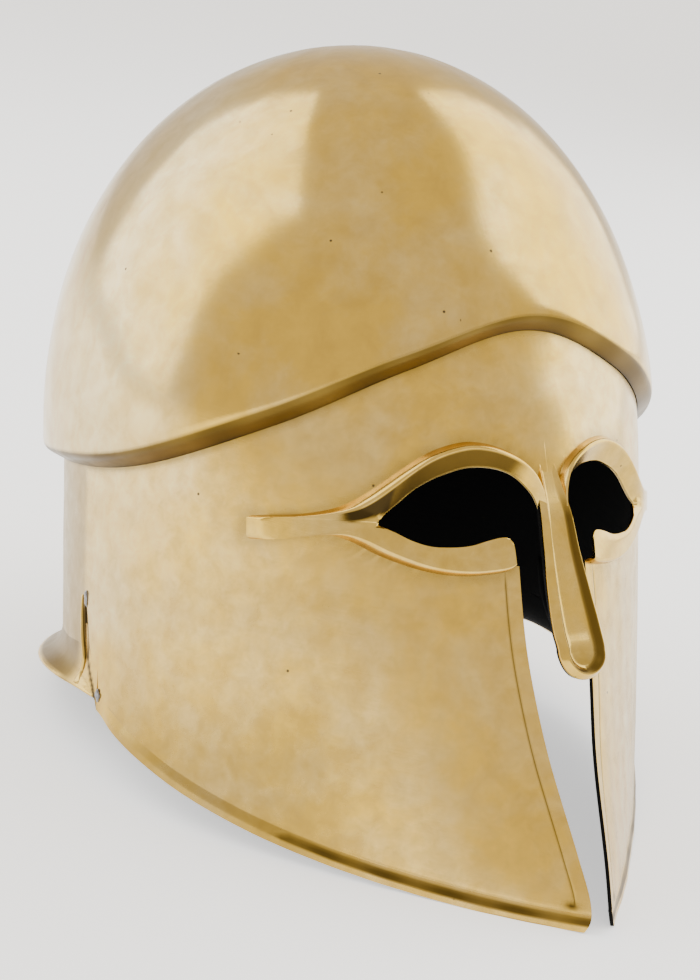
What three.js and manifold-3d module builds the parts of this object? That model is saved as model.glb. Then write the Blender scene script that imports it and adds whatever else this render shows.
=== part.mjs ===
// Corinthian helmet in polished brass sheet: a skull bowl with a turned-in rim sits over a face
// wall that carries the brow, the raised eye borders, the nose guard, the two cheeks and the
// flared neck guard.  The helmet is drawn as it is worn (X to the wearer's left, -Y ahead, Z up,
// level 0 at the widest part of the skull, millimetres) and then tipped back onto its rests.
import * as THREE from 'three';
import { mergeVertices } from 'three/addons/utils/BufferGeometryUtils.js';
import Module from 'manifold-3d';

// Sheet and fit
const sheet = 1.2;            // brass sheet thickness
const seamGap = 0.3;          // between the bowl's turned-in edge and the wall
const tuck = 8;               // how far the wall runs up inside the bowl

// Skull bowl
const skull = { half: 105.2, front: 108.3, back: 116.4, height: 129.8, keel: 0 };
const skullFullness = 2.06;   // 2 is an ellipse, more is fuller towards the crown
const lipRound = 1.8;         // radius of the rim's outer roll
const rimDrop = 5.6;          // height of the rim's turned-in face
const rimFlare = 0.8;         // how far the bowl spreads just above the rim
const rimFlareStart = 0.82;   // share of the way down from the crown where the spread begins
const rimCrest = [            // height of the rim's crest round the head, in degrees from the front
  { turn: -25, height: 21 },
  { turn: 0, height: 33 },
  { turn: 25, height: 21 },
  { turn: 50, height: 4.3 },
  { turn: 80, height: -9.5 },
  { turn: 120, height: -10 },
  { turn: 180, height: -10 },
  { turn: 240, height: -10 },
];

// How plans are drawn: the pull that makes a quarter circle, a fuller one for the back, and how
// much of the front quarter's pull a full keel takes away ahead and at the side
const circlePull = 0.5523;
const backPull = 0.59;
const keelPull = { ahead: 0.45, side: 0.3 };

// Face wall: the plan at a few levels; keel folds the front from an oval (0) to a wedge (1)
const wallRows = [
  { level: -158, half: 104.3, front: 138.4, back: 105.5, keel: 0.81 },
  { level: -100, half: 102, front: 125.8, back: 107.6, keel: 0.52 },
  { level: -54, half: 100.2, front: 117.6, back: 109.3, keel: 0.29 },
  { level: 0, half: 98, front: 107.7, back: 111.3, keel: 0.03 },
  { level: 36, half: 96.6, front: 100.7, back: 112.6, keel: 0 },
];
const tipLevel = -158;        // the cheeks' tips
const cheekRise = 58.6;       // from the tips up to the cheeks' back corners
const cheekBow = 1.27;        // exponent of the cheek's lower edge, 1 is straight
const cheekBackTurn = 92;     // where the cheek ends and the neck guard begins
const napeTurn = 98;          // from here back the wall ends at the nape
const napeLevel = -77;

// Eyes and face opening, as drawn from the front (x outwards, z up)
const eyeCorner = { x: 52.8, z: -30.7 };
const eyeTop = { x: 23.2, z: -15.1 };
const eyeInner = { x: 5, z: -29 };
const lidLow = { x: 36, z: -39.2 };
const lidKnob = { x: 17.4, z: -36.4 };
const lidEnd = { x: 16.2, z: -45.2 };
const cheekFront = { x: 13.4, topZ: -47.5, bendZ: -66, bowX: 13.2, bowZ: -86, tipX: 4, tipZ: -152 };
const tipRound = { x: 7, z: -159.5 };     // where the rounded tip meets the cheek's lower edge

// Raised border round each eye
const borderLift = 3;
const borderSpan = { top: 8, bottom: -60 };  // levels that hold the whole border
const borderDepth = 6;        // how far its hollow is cut behind the wall's outer face
const borderTail = { x: 81, topZ: -29.4, lowZ: -36.4 };
const borderTop = { x: 26, z: -7 };
const borderLow = { x: 28, z: -48.4 };

// Nose guard: a spoon with a raised rim; columns are level, half width, reach ahead, groove depth
const noseRows = [
  { level: -14, half: 3.6, reach: 109, groove: 0 },
  { level: -22, half: 4.8, reach: 113.4, groove: 0.3 },
  { level: -30, half: 5.9, reach: 116.2, groove: 1 },
  { level: -41, half: 6.9, reach: 118.9, groove: 1.8 },
  { level: -54, half: 8.5, reach: 122.6, groove: 2.2 },
  { level: -66, half: 9.5, reach: 126.6, groove: 2.4 },
  { level: -72, half: 9.3, reach: 128.6, groove: 2.4 },
];
const noseTip = { level: -80.6, reach: 130 };
const noseCrest = 0.78;       // where the spoon's crest lies between its middle and its edge
const noseBevel = 2;          // how far the spoon's edge falls back behind the crest
const noseSkirt = 3;          // depth of the spoon's edge
const noseTaper = 0.86;       // width of the spoon's back against its front

// Neck guard: columns are turn, reach out from the wall and level of the lip
const neckLip = [
  { turn: 91.5, reach: 0.6, level: -94 },
  { turn: 97, reach: 3, level: -91.5 },
  { turn: 103, reach: 6, level: -89.2 },
  { turn: 112, reach: 8.2, level: -87 },
  { turn: 130, reach: 9, level: -85.2 },
  { turn: 180, reach: 9, level: -83.5 },
];
const neckTop = -70;          // the guard's sheet is brazed to the wall from here down
const ridge = { topTurn: 97, topLevel: -60, lowTurn: 92.2, lowLevel: -92, width: 3.2, height: 2.2 };
const ridgeRoot = 0.7;        // how deep the ridge's braze sits in the wall

// Rests: the cheeks' lowest points and the back of the neck guard stand on one plane
const restTurn = 13;          // where the cheeks reach lowest
const restGround = 0.35;      // how much the rests are ground flat

const wasm = await Module();
wasm.setup();

// ---- helpers -------------------------------------------------------------------------------

const lerp = THREE.MathUtils.lerp;

// A smooth reader for one column of a table whose rows are sorted by a key column.
function column(rows, key, name) {
  const places = rows.map((row) => row[key]);
  const values = rows.map((row) => row[name]);
  const reader = new THREE.CubicInterpolant(places, values, 1);
  return (place) => {
    const held = THREE.MathUtils.clamp(place, places[0], places[places.length - 1]);
    return reader.evaluate(held)[0];
  };
}

const crestHeight = column(rimCrest, 'turn', 'height');
const wallPlan = {
  half: column(wallRows, 'level', 'half'),
  front: column(wallRows, 'level', 'front'),
  back: column(wallRows, 'level', 'back'),
  keel: column(wallRows, 'level', 'keel'),
};

// Turn 0..360 degrees folded onto one half: 0 is the front, 180 the back, side +1 or -1.
function fold(turn) {
  const round = ((turn % 360) + 360) % 360;
  return round <= 180 ? { half: round, side: 1 } : { half: 360 - round, side: -1 };
}

// A point of an egg-shaped plan: a front quarter between an oval and a wedge, and an oval back
// quarter.  The offset is along the plan's own outward normal.
function planPoint(turn, plan, offset) {
  const { half, side } = fold(turn);
  const front = new THREE.CubicBezierCurve(
    new THREE.Vector2(0, -plan.front),
    new THREE.Vector2(circlePull * plan.half, -plan.front * (1 - keelPull.ahead * plan.keel)),
    new THREE.Vector2(plan.half, -plan.front * (circlePull - keelPull.side * plan.keel)),
    new THREE.Vector2(plan.half, 0),
  );
  const back = new THREE.CubicBezierCurve(
    new THREE.Vector2(plan.half, 0),
    new THREE.Vector2(plan.half, plan.back * backPull),
    new THREE.Vector2(plan.half * backPull, plan.back),
    new THREE.Vector2(0, plan.back),
  );
  const quarter = half <= 90 ? front : back;
  const along = half <= 90 ? half / 90 : half / 90 - 1;
  const point = quarter.getPoint(along);
  const tangent = quarter.getTangent(along);
  const outward = new THREE.Vector2(tangent.y, -tangent.x);
  if (half === 0) outward.set(0, -1 / tangent.x);
  if (half === 180) outward.set(0, 1);
  point.addScaledVector(outward, offset);
  return new THREE.Vector2(point.x * side, point.y);
}

function wallPoint(turn, level, offset) {
  const plan = {
    half: wallPlan.half(level),
    front: wallPlan.front(level),
    back: wallPlan.back(level),
    keel: wallPlan.keel(level),
  };
  const point = planPoint(turn, plan, offset);
  return new THREE.Vector3(point.x, point.y, level);
}

// One closed body from sheet sections: each section runs along its outer face and back along its
// inner face.  A ring of sections closes on itself; an open run gets its ends capped.
function sheetLoft(sections, { ring = false, capFirst = true, capLast = true } = {}) {
  const count = sections[0].length;
  const positions = [];
  const triangle = (a, b, c) => {
    if (a.distanceTo(b) < 1e-4 || b.distanceTo(c) < 1e-4 || c.distanceTo(a) < 1e-4) return;
    positions.push(...a.toArray(), ...b.toArray(), ...c.toArray());
  };
  const quad = (a, b, c, d) => {
    triangle(a, b, c);
    triangle(a, c, d);
  };
  const spans = ring ? sections.length : sections.length - 1;
  for (let i = 0; i < spans; i += 1) {
    const here = sections[i];
    const next = sections[(i + 1) % sections.length];
    for (let j = 0; j < count; j += 1) {
      const k = (j + 1) % count;
      quad(here[j], next[j], next[k], here[k]);
    }
  }
  const cap = (section, flip) => {
    for (let j = 0; j < count / 2 - 1; j += 1) {
      const outer = [section[j], section[j + 1]];
      const inner = [section[count - 1 - j], section[count - 2 - j]];
      if (flip) quad(outer[0], inner[0], inner[1], outer[1]);
      else quad(outer[0], outer[1], inner[1], inner[0]);
    }
  };
  if (!ring && capFirst) cap(sections[0], false);
  if (!ring && capLast) cap(sections[sections.length - 1], true);
  const geometry = new THREE.BufferGeometry();
  geometry.setAttribute('position', new THREE.Float32BufferAttribute(positions, 3));
  return geometry;
}

// A closed geometry as a solid for joining and cutting, and a solid back as a geometry.
function toSolid(geometry) {
  const bare = geometry.clone();
  bare.deleteAttribute('normal');
  bare.deleteAttribute('uv');
  const merged = mergeVertices(bare, 1e-4);
  const make = (triVerts) => {
    const vertProperties = new Float32Array(merged.attributes.position.array);
    return new wasm.Manifold(new wasm.Mesh({ numProp: 3, vertProperties, triVerts }));
  };
  const outward = new Uint32Array(merged.index.array);
  const solid = make(outward);
  if (solid.volume() > 0) return solid;
  for (let i = 0; i < outward.length; i += 3) {
    [outward[i], outward[i + 1]] = [outward[i + 1], outward[i]];
  }
  return make(outward);
}

function toGeometry(solid) {
  const { vertProperties, triVerts } = solid.getMesh();
  const places = new Float32Array(vertProperties);
  const geometry = new THREE.BufferGeometry();
  geometry.setAttribute('position', new THREE.BufferAttribute(places, 3));
  geometry.setIndex(new THREE.BufferAttribute(new Uint32Array(triVerts), 1));
  return geometry;
}

// A front-drawn outline (x, z) pushed through the front of the helmet.
function frontPrism(shape, curveSteps) {
  const depth = 170;
  const nearest = -30;
  const options = { depth, bevelEnabled: false, curveSegments: curveSteps };
  const prism = new THREE.ExtrudeGeometry(shape, options);
  prism.rotateX(Math.PI / 2);
  prism.translate(0, nearest, 0);
  return toSolid(prism);
}

// Stations round the head, closer together over the face, the same on both sides.
const frontTurns = Array.from({ length: 20 }, (_, i) => i * 3);
const backTurns = Array.from({ length: 24 }, (_, i) => 60 + i * 5);
const leftTurns = [...frontTurns, ...backTurns];
const rightTurns = leftTurns.slice(1).reverse().map((turn) => 360 - turn);
const stations = [...leftTurns, 180, ...rightTurns];

// ---- skull bowl ----------------------------------------------------------------------------

// One upright cut through the bowl: outer face from the crown down, round the lip, along the
// turned-in rim to the wall, and back up the inner face.
function bowlSection(turn) {
  const crest = crestHeight(fold(turn).half);
  const lowest = Math.asin(crest / skull.height);
  const steps = 8;
  const domePoint = (share, inset) => {
    const slope = lerp(Math.PI / 2, lowest, share);
    const reach = Math.cos(Math.max(slope, 0)) ** (2 / skullFullness);
    const spread = rimFlare * THREE.MathUtils.smoothstep(share, rimFlareStart, 1) - inset;
    const edge = planPoint(turn, skull, 0);
    const lean = planPoint(turn, skull, 1).sub(edge);
    const level = skull.height * Math.sin(slope) - inset * Math.sin(Math.max(slope, 0));
    const out = edge.multiplyScalar(reach).addScaledVector(lean, spread * reach);
    return new THREE.Vector3(out.x, out.y, level);
  };
  const outer = [];
  const inner = [];
  for (let i = 0; i <= steps; i += 1) {
    const share = i / steps;
    outer.push(domePoint(share, 0));
    inner.push(domePoint(share, sheet));
  }
  const seam = seamLevel(turn);
  const under = domePoint(1, lipRound * 0.5);
  under.z = crest - lipRound;
  const roof = domePoint(1, sheet + lipRound * 0.5);
  roof.z = crest - lipRound + sheet;
  outer.push(under, wallPoint(turn, seam, seamGap));
  inner.push(roof, wallPoint(turn, seam + sheet, seamGap));
  return [...outer, ...inner.reverse()];
}

function makeSkullBowl() {
  return toSolid(sheetLoft(stations.map(bowlSection), { ring: true }));
}

// ---- face wall -----------------------------------------------------------------------------

function seamLevel(turn) {
  return crestHeight(fold(turn).half) - rimDrop;
}

function wallBottom(turn) {
  const { half } = fold(turn);
  const cheekEdge = tipLevel + cheekRise * (Math.min(half, cheekBackTurn) / 90) ** cheekBow;
  const toNape = THREE.MathUtils.smoothstep(half, cheekBackTurn, napeTurn);
  return lerp(cheekEdge, napeLevel, toNape);
}

// Evenly spaced levels from one down to another.
function levels(top, bottom, steps) {
  return Array.from({ length: steps + 1 }, (_, i) => lerp(top, bottom, i / steps));
}

// A shell that follows the wall between two offsets, through the levels given for each turn.
function wallShell(outerOffset, innerOffset, levelsAt) {
  const sections = stations.map((turn) => {
    const outer = levelsAt(turn).map((level) => wallPoint(turn, level, outerOffset));
    const inner = levelsAt(turn).map((level) => wallPoint(turn, level, innerOffset));
    return [...outer, ...inner.reverse()];
  });
  return toSolid(sheetLoft(sections, { ring: true }));
}

// The wall's levels: its tucked-in top edge, the seam under the rim, and evenly on down.
function wallLevels(turn) {
  const seam = seamLevel(turn);
  return [seam + tuck, ...levels(seam, wallBottom(turn), 6)];
}

// An outline drawn from curve rows: two numbers are a line's end, four add a pull point, six add
// two.  The side mirrors it.
function drawn(start, rows, side) {
  const shape = new THREE.Shape();
  shape.moveTo(side * start[0], start[1]);
  rows.forEach((row) => {
    const place = row.map((value, i) => (i % 2 === 0 ? side * value : value));
    if (place.length === 2) shape.lineTo(...place);
    else if (place.length === 4) shape.quadraticCurveTo(...place);
    else shape.bezierCurveTo(...place);
  });
  shape.closePath();
  return shape;
}

// The gap between the cheeks and the two eyes, drawn for the wearer's left and mirrored.
function faceOpening() {
  const overlap = -0.5;
  const below = tipLevel - 12;
  const rows = [
    [eyeInner.x, eyeInner.z],
    [8, eyeTop.z - 4, 14, eyeTop.z, eyeTop.x, eyeTop.z],
    [36, eyeTop.z, 46, -24, eyeCorner.x, eyeCorner.z],
    [48, -36.5, 42, lidLow.z, lidLow.x, lidLow.z],
    [28, lidLow.z, 24, lidKnob.z, lidKnob.x + 1.5, lidKnob.z],
    [lidEnd.x, lidKnob.z, lidEnd.x, lidKnob.z - 2.5],
    [lidEnd.x, lidEnd.z],
    [cheekFront.x, cheekFront.topZ],
    [cheekFront.x, cheekFront.bendZ],
    [cheekFront.bowX, cheekFront.bowZ, cheekFront.tipX, cheekFront.tipZ],
    [cheekFront.tipX, tipRound.z + 3, tipRound.x, tipRound.z],
    [tipRound.x + 4, below],
    [overlap, below],
  ];
  const half = (side) => frontPrism(drawn([overlap, eyeInner.z - 1], rows, side), 7);
  return half(1).add(half(-1));
}

// One raised eye border, shrunk by an inset; its inner end runs on into the opening.
function borderPrism(side, inset) {
  const tailX = borderTail.x - inset;
  const top = borderTop.z - inset;
  const low = borderLow.z + inset;
  const rows = [
    [68, -28 - inset, 60, -27.5 - inset, 54, -21.5 - inset],
    [45, -13 - inset, 36, top, borderTop.x, top],
    [17, top, 9, -11.5 - inset, 5, -18 - inset],
    [3.5 + inset, -30],
    [12.5 + inset, -40],
    [13.6 + inset, -46.4 + inset],
    [20, low, borderLow.x, low],
    [40, low, 50, -43 + inset, 57, -38 + inset],
    [62, -34.5 + inset, tailX, borderTail.lowZ + inset],
  ];
  return frontPrism(drawn([tailX, borderTail.topZ - inset], rows, side), 6);
}

// Each border is pressed out of the sheet, so it is raised in front and hollow behind.
function makeBorder(side) {
  const span = () => levels(borderSpan.top, borderSpan.bottom, 4);
  const raised = wallShell(borderLift, -sheet / 2, span);
  const behind = wallShell(borderLift - sheet, -borderDepth, span);
  const blank = raised.intersect(borderPrism(side, 0));
  const hollow = behind.intersect(borderPrism(side, sheet));
  return { blank, hollow };
}

// The nose guard's rows run across from edge to edge; round the tip they swing about one centre.
function makeNoseGuard() {
  const upwards = [...noseRows].reverse();
  const halfAt = column(upwards, 'level', 'half');
  const reachAt = column(upwards, 'level', 'reach');
  const grooveAt = column(upwards, 'level', 'groove');
  const centre = noseRows[noseRows.length - 1];
  const tipDrop = centre.level - noseTip.level;
  const shares = [-1, -noseCrest, -0.66, -0.4, 0, 0.4, 0.66, noseCrest, 1];
  const setBack = (size, level) => {
    const bevel = noseBevel * ((size - noseCrest) / (1 - noseCrest));
    const groove = grooveAt(level) * (1 - THREE.MathUtils.smoothstep(size, 0.5, noseCrest));
    return size >= noseCrest ? bevel : groove;
  };
  const row = (edgeX, edgeLevel, middleLevel) => {
    const face = (back) => shares.map((share) => {
      const size = Math.abs(share);
      const level = lerp(middleLevel, edgeLevel, size);
      const pastCentre = Math.max(centre.level - level, 0) / tipDrop;
      const reach = reachAt(level) + (noseTip.reach - centre.reach) * pastCentre;
      const taper = back && size === 1 ? noseTaper : 1;
      const thickness = size === 1 ? noseSkirt : sheet;
      const ahead = reach - setBack(size, level) - (back ? thickness : 0);
      return new THREE.Vector3(share * edgeX * taper, -ahead, level);
    });
    return [...face(false), ...face(true).reverse()];
  };
  const sections = [];
  for (let level = noseRows[0].level; level > centre.level; level -= 4) {
    sections.push(row(halfAt(level), level, level));
  }
  const arcSteps = 6;
  for (let i = 0; i <= arcSteps; i += 1) {
    const angle = (i / arcSteps) * (Math.PI / 2);
    const edgeLevel = centre.level - tipDrop * Math.sin(angle);
    sections.push(row(centre.half * Math.cos(angle), edgeLevel, centre.level));
  }
  return toSolid(sheetLoft(sections, { capLast: false }));
}

// The neck guard's sheet leaves the wall at the nape and flares out to its lip.
function makeNeckGuard() {
  const reachAt = column(neckLip, 'turn', 'reach');
  const levelAt = column(neckLip, 'turn', 'level');
  const first = neckLip[0].turn;
  const steps = 34;
  const sections = Array.from({ length: steps + 1 }, (_, i) => {
    const turn = lerp(first, 360 - first, i / steps);
    const reach = reachAt(fold(turn).half);
    const lip = levelAt(fold(turn).half);
    const point = (out, level) => wallPoint(turn, level, out);
    const outer = [
      point(-0.35, neckTop),
      point(-0.1, lip + 10),
      point(0.08 * reach, lip + 6.5),
      point(0.35 * reach, lip + 3.8),
      point(reach - 0.3, lip + 0.9),
      point(reach, lip + 0.3),
    ];
    const inner = [
      point(-0.85, neckTop),
      point(-sheet - 0.1, lip + 9.4),
      point(0.08 * reach - sheet, lip + 5.5),
      point(0.35 * reach - 0.8, lip + 2.7),
      point(reach - 1.2, lip - 0.1),
      point(reach - 0.4, lip - 0.2),
    ];
    return [...outer, ...inner.reverse()];
  });
  return toSolid(sheetLoft(sections));
}

// The brazed fold that stiffens the joint of cheek and neck guard.
function makeRidge(side) {
  const steps = 8;
  const sections = Array.from({ length: steps + 1 }, (_, i) => {
    const share = i / steps;
    const turn = lerp(ridge.topTurn, ridge.lowTurn, share ** 2);
    const level = lerp(ridge.topLevel, ridge.lowLevel, share);
    const height = ridge.height * Math.sin(Math.PI * lerp(0.12, 0.9, share));
    const spread = ridge.width / 2;
    const at = (across, out) => {
      const base = wallPoint(turn, level, out);
      return new THREE.Vector3(base.x * side, base.y + across, base.z);
    };
    const outer = [at(-spread, 0), at(-spread * 0.4, height), at(spread * 0.4, height), at(spread, 0)];
    const inner = [-spread, -spread * 0.4, spread * 0.4, spread].map((across) => at(across, -ridgeRoot));
    return [...outer, ...inner.reverse()];
  });
  return toSolid(sheetLoft(sections));
}

function makeFaceWall() {
  const left = makeBorder(1);
  const right = makeBorder(-1);
  let body = wallShell(0, -sheet, wallLevels);
  body = body.add(left.blank).add(right.blank);
  body = body.subtract(left.hollow).subtract(right.hollow);
  body = body.subtract(faceOpening());
  body = body.add(makeNoseGuard());
  body = body.add(makeNeckGuard());
  return body.add(makeRidge(1)).add(makeRidge(-1));
}

// ---- resting plane -------------------------------------------------------------------------

const lastLip = neckLip[neckLip.length - 1];
const rearLip = wallPoint(lastLip.turn, lastLip.level, lastLip.reach);
const lowest = wallPoint(restTurn, wallBottom(restTurn), 0);
const restPitch = Math.atan2(lowest.z - rearLip.z, rearLip.y - lowest.y);

// The floor as a block in the helmet's worn position, reaching up by what is ground off.
function floorBlock() {
  const size = 800;
  const block = new THREE.BoxGeometry(size, size, size);
  block.translate(0, 0, -size / 2);
  block.translate(0, 0, restGround);
  block.rotateX(-restPitch);
  block.translate(0, lowest.y, lowest.z);
  return toSolid(block);
}

// ---- assembly ------------------------------------------------------------------------------

const brass = (color, roughness) => new THREE.MeshStandardMaterial({ color, roughness, metalness: 1 });
const skullBrass = brass('#cfae74', 0.22);
const wallBrass = brass('#c9a66c', 0.26);

function namedMesh(name, solid, material) {
  const mesh = new THREE.Mesh(toGeometry(solid), material);
  mesh.name = name;
  return mesh;
}

const worn = new THREE.Group();
worn.add(namedMesh('skull_bowl', makeSkullBowl(), skullBrass));
worn.add(namedMesh('face_wall', makeFaceWall().subtract(floorBlock()), wallBrass));
worn.rotation.x = restPitch;
worn.updateMatrixWorld(true);
const extent = new THREE.Box3().setFromObject(worn, true);
worn.position.set(0, -(extent.min.y + extent.max.y) / 2, -extent.min.z);

const group = new THREE.Group();
group.add(worn);
export default group;
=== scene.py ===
import math

import bmesh
import bpy
import numpy as np
from mathutils import Matrix, Vector


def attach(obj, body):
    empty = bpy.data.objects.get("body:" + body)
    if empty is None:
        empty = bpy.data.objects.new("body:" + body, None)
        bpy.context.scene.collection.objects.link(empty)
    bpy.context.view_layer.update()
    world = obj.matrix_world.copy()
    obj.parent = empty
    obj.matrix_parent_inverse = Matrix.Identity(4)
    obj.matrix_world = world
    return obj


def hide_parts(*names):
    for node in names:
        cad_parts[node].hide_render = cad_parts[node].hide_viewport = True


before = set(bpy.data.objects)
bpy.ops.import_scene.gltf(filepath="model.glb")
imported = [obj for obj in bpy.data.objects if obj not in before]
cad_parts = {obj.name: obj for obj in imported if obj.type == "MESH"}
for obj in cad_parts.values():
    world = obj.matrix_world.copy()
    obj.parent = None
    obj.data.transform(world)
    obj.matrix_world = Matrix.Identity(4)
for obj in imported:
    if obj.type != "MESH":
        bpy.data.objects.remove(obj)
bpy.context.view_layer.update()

# The helmet is drawn as it is worn, in millimetres: X to the wearer's left, -Y ahead, Z up and
# level 0 at the widest part of the skull.  A turn is in degrees round the head, 0 ahead and 180
# behind.  What is drawn is then tipped back onto its rests, in metres.
REST_PITCH = math.radians(-16.5581)
REST_SHIFT = (0.0, 27.585, 113.090)
FLOOR_CLEAR = 0.00002  # metres kept free over the floor

SHEET = 1.2  # thickness of the brass
SEAM_GAP = 0.3  # between the bowl's turned-in edge and the wall
TUCK = 8.0  # how far the wall runs up inside the bowl

# Plans: the pull that makes a quarter circle, a fuller one for the back, how much of the front
# quarter's pull a full keel takes away ahead and at the side, and how steep that makes its front
CIRCLE_PULL = 0.5523
BACK_PULL = 0.59
KEEL_PULL_AHEAD = 0.45
KEEL_PULL_SIDE = 0.3
KEEL_SLOPE = 0.815

SKULL = {"half": 105.2, "front": 108.3, "back": 116.4, "keel": 0.0}
SKULL_HEIGHT = 129.3
SKULL_FULLNESS = 2.06  # 2 is an ellipse, more is fuller towards the crown
LIP_ROUND = 1.8  # radius of the rim's outer roll
RIM_DROP = 5.6  # height of the rim's turned-in face
RIM_FLARE = 0.785  # how far the bowl spreads just above the rim
RIM_FLARE_START = 0.82  # share of the way down from the crown where the spread begins

# The rim's crest: turn, level
RIM_CREST = [(-25, 21), (0, 33), (25, 21), (50, 4.3), (80, -9.5), (120, -10), (180, -10), (240, -10)]

# Wall plans: level, half width, reach ahead, reach behind, keel
WALL_ROWS = [
    (-158, 104.3, 138.4, 105.5, 0.81),
    (-100, 102, 125.8, 107.6, 0.52),
    (-54, 100.2, 117.6, 109.3, 0.29),
    (0, 98, 107.7, 111.3, 0.03),
    (36, 96.6, 100.7, 112.6, 0),
]
TIP_LEVEL = -158  # the cheeks' tips
CHEEK_RISE = 58.6  # from the tips up to the cheeks' back corners
CHEEK_BOW = 1.27  # exponent of the cheek's lower edge, 1 is straight
CHEEK_BACK = 92  # turn where the cheek ends
NAPE_TURN = 98  # from here back the wall ends at the nape
NAPE_LEVEL = -77
EDGE_BAND = 5.6  # height of the band folded along the cheek's lower edge
LINE_IN = 4.8  # from the cheek's front edge to the line scribed beside it
BROW_ROUND = 7.0  # how far the forehead's keel is rounded off

# The cheek's front edge: level, half of the gap between the cheeks
FRONT_EDGE = [(-159, 7.4), (-157, 5.9), (-154.5, 4.6), (-150, 4.1), (-136, 5.6), (-120, 7.6)]
FRONT_EDGE += [(-104, 9.7), (-88, 11.6), (-74, 12.9), (-62, 13.4), (-47, 13.4)]

# Waves in the beaten sheet: depth, then rate up, rate round and phase of two that cross
BEATEN_WAVES = [
    (0.09, (0.052, 0.19, 1.0), (-0.031, 0.17, 0.0)),
    (0.04, (0.11, -0.37, 0.0), (0.083, 0.29, 2.0)),
]
LONG_DENTS = 0.07  # depth of the upright dents in the cheeks

# Neck guard: turn, reach out of the wall, level of the lip
NECK_LIP = [(91.5, 0.6, -94), (97, 3, -91.5), (103, 6, -89.2), (112, 8.2, -87)]
NECK_LIP += [(130, 9, -85.2), (180, 9, -83.5)]

# The neck guard's flare: height over the lip, share of its reach
FLARE = [(0.65, 1), (0.95, 0.95), (1.6, 0.8), (2.5, 0.58), (3.6, 0.37), (5, 0.2), (6.6, 0.09)]
FLARE += [(8.4, 0.03), (11, 0)]

# The neck guard's rolled edge and its inside, up again: share of the reach, offset, height
NECK_EDGE = [(1, -0.35, 0.95), (1, -0.08, 0.65), (1, 0, 0.3), (1, -0.1, -0.02), (1, -0.4, -0.18)]
NECK_INSIDE = [(1, -0.9, -0.15), (0.8, -0.7, 0.45), (0.58, -0.7, 1.35), (0.37, -0.9, 2.45)]
NECK_INSIDE += [(0.12, -1, 5), (0, -1.3, 9.4)]
NECK_TOP = -70.0  # level where the neck guard leaves the wall

# Slit between cheek and neck guard: level, turn
SLIT = [(-96, 91.6), (-92, 92.3), (-86, 94.2), (-78, 95.9), (-70, 96.6), (-60, 96.9)]
SLIT_MIDDLE, SLIT_HALF = -78.5, 17.0  # levels that it opens between
DEGREE = 1.75  # millimetres round the wall in a degree, at the slit

# Section of the narrow ridge beside the slit: share of its half width, share of its height or,
# below the wall, an offset
RIDGE_SECTION = [(-1, -0.35), (-1, 0), (-0.85, 0.62), (-0.5, 0.93), (0, 1), (0.5, 0.93)]
RIDGE_SECTION += [(0.85, 0.62), (1, 0), (1, -0.35), (0, -0.35), (-1, -0.35)]

# Nose guard: level, half width, reach ahead, depth of the groove
NOSE_ROWS = [
    (-72, 9.3, 128.6, 2.4),
    (-66, 9.5, 126.6, 2.4),
    (-54, 8.5, 122.6, 2.2),
    (-41, 6.9, 118.9, 2.1),
    (-30, 5.9, 116.2, 1.7),
    (-22, 4.8, 113.0, 1.1),
    (-16, 4.0, 110.4, 0.3),
    (-11, 3.2, 108.6, 0),
]
NOSE_TIP = {"level": -80.6, "reach": 130}
NOSE_RIM = 0.78  # share of the half width where the raised rim has its crest

# Shares of the half width where the nose guard has its columns, from the middle out
NOSE_COLUMNS = [0, 0.14, 0.27, 0.38, 0.47, 0.54, 0.6, 0.65, 0.69, 0.725, 0.755, 0.785]
NOSE_COLUMNS += [0.82, 0.87, 0.93, 0.98, 1.0]

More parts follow.
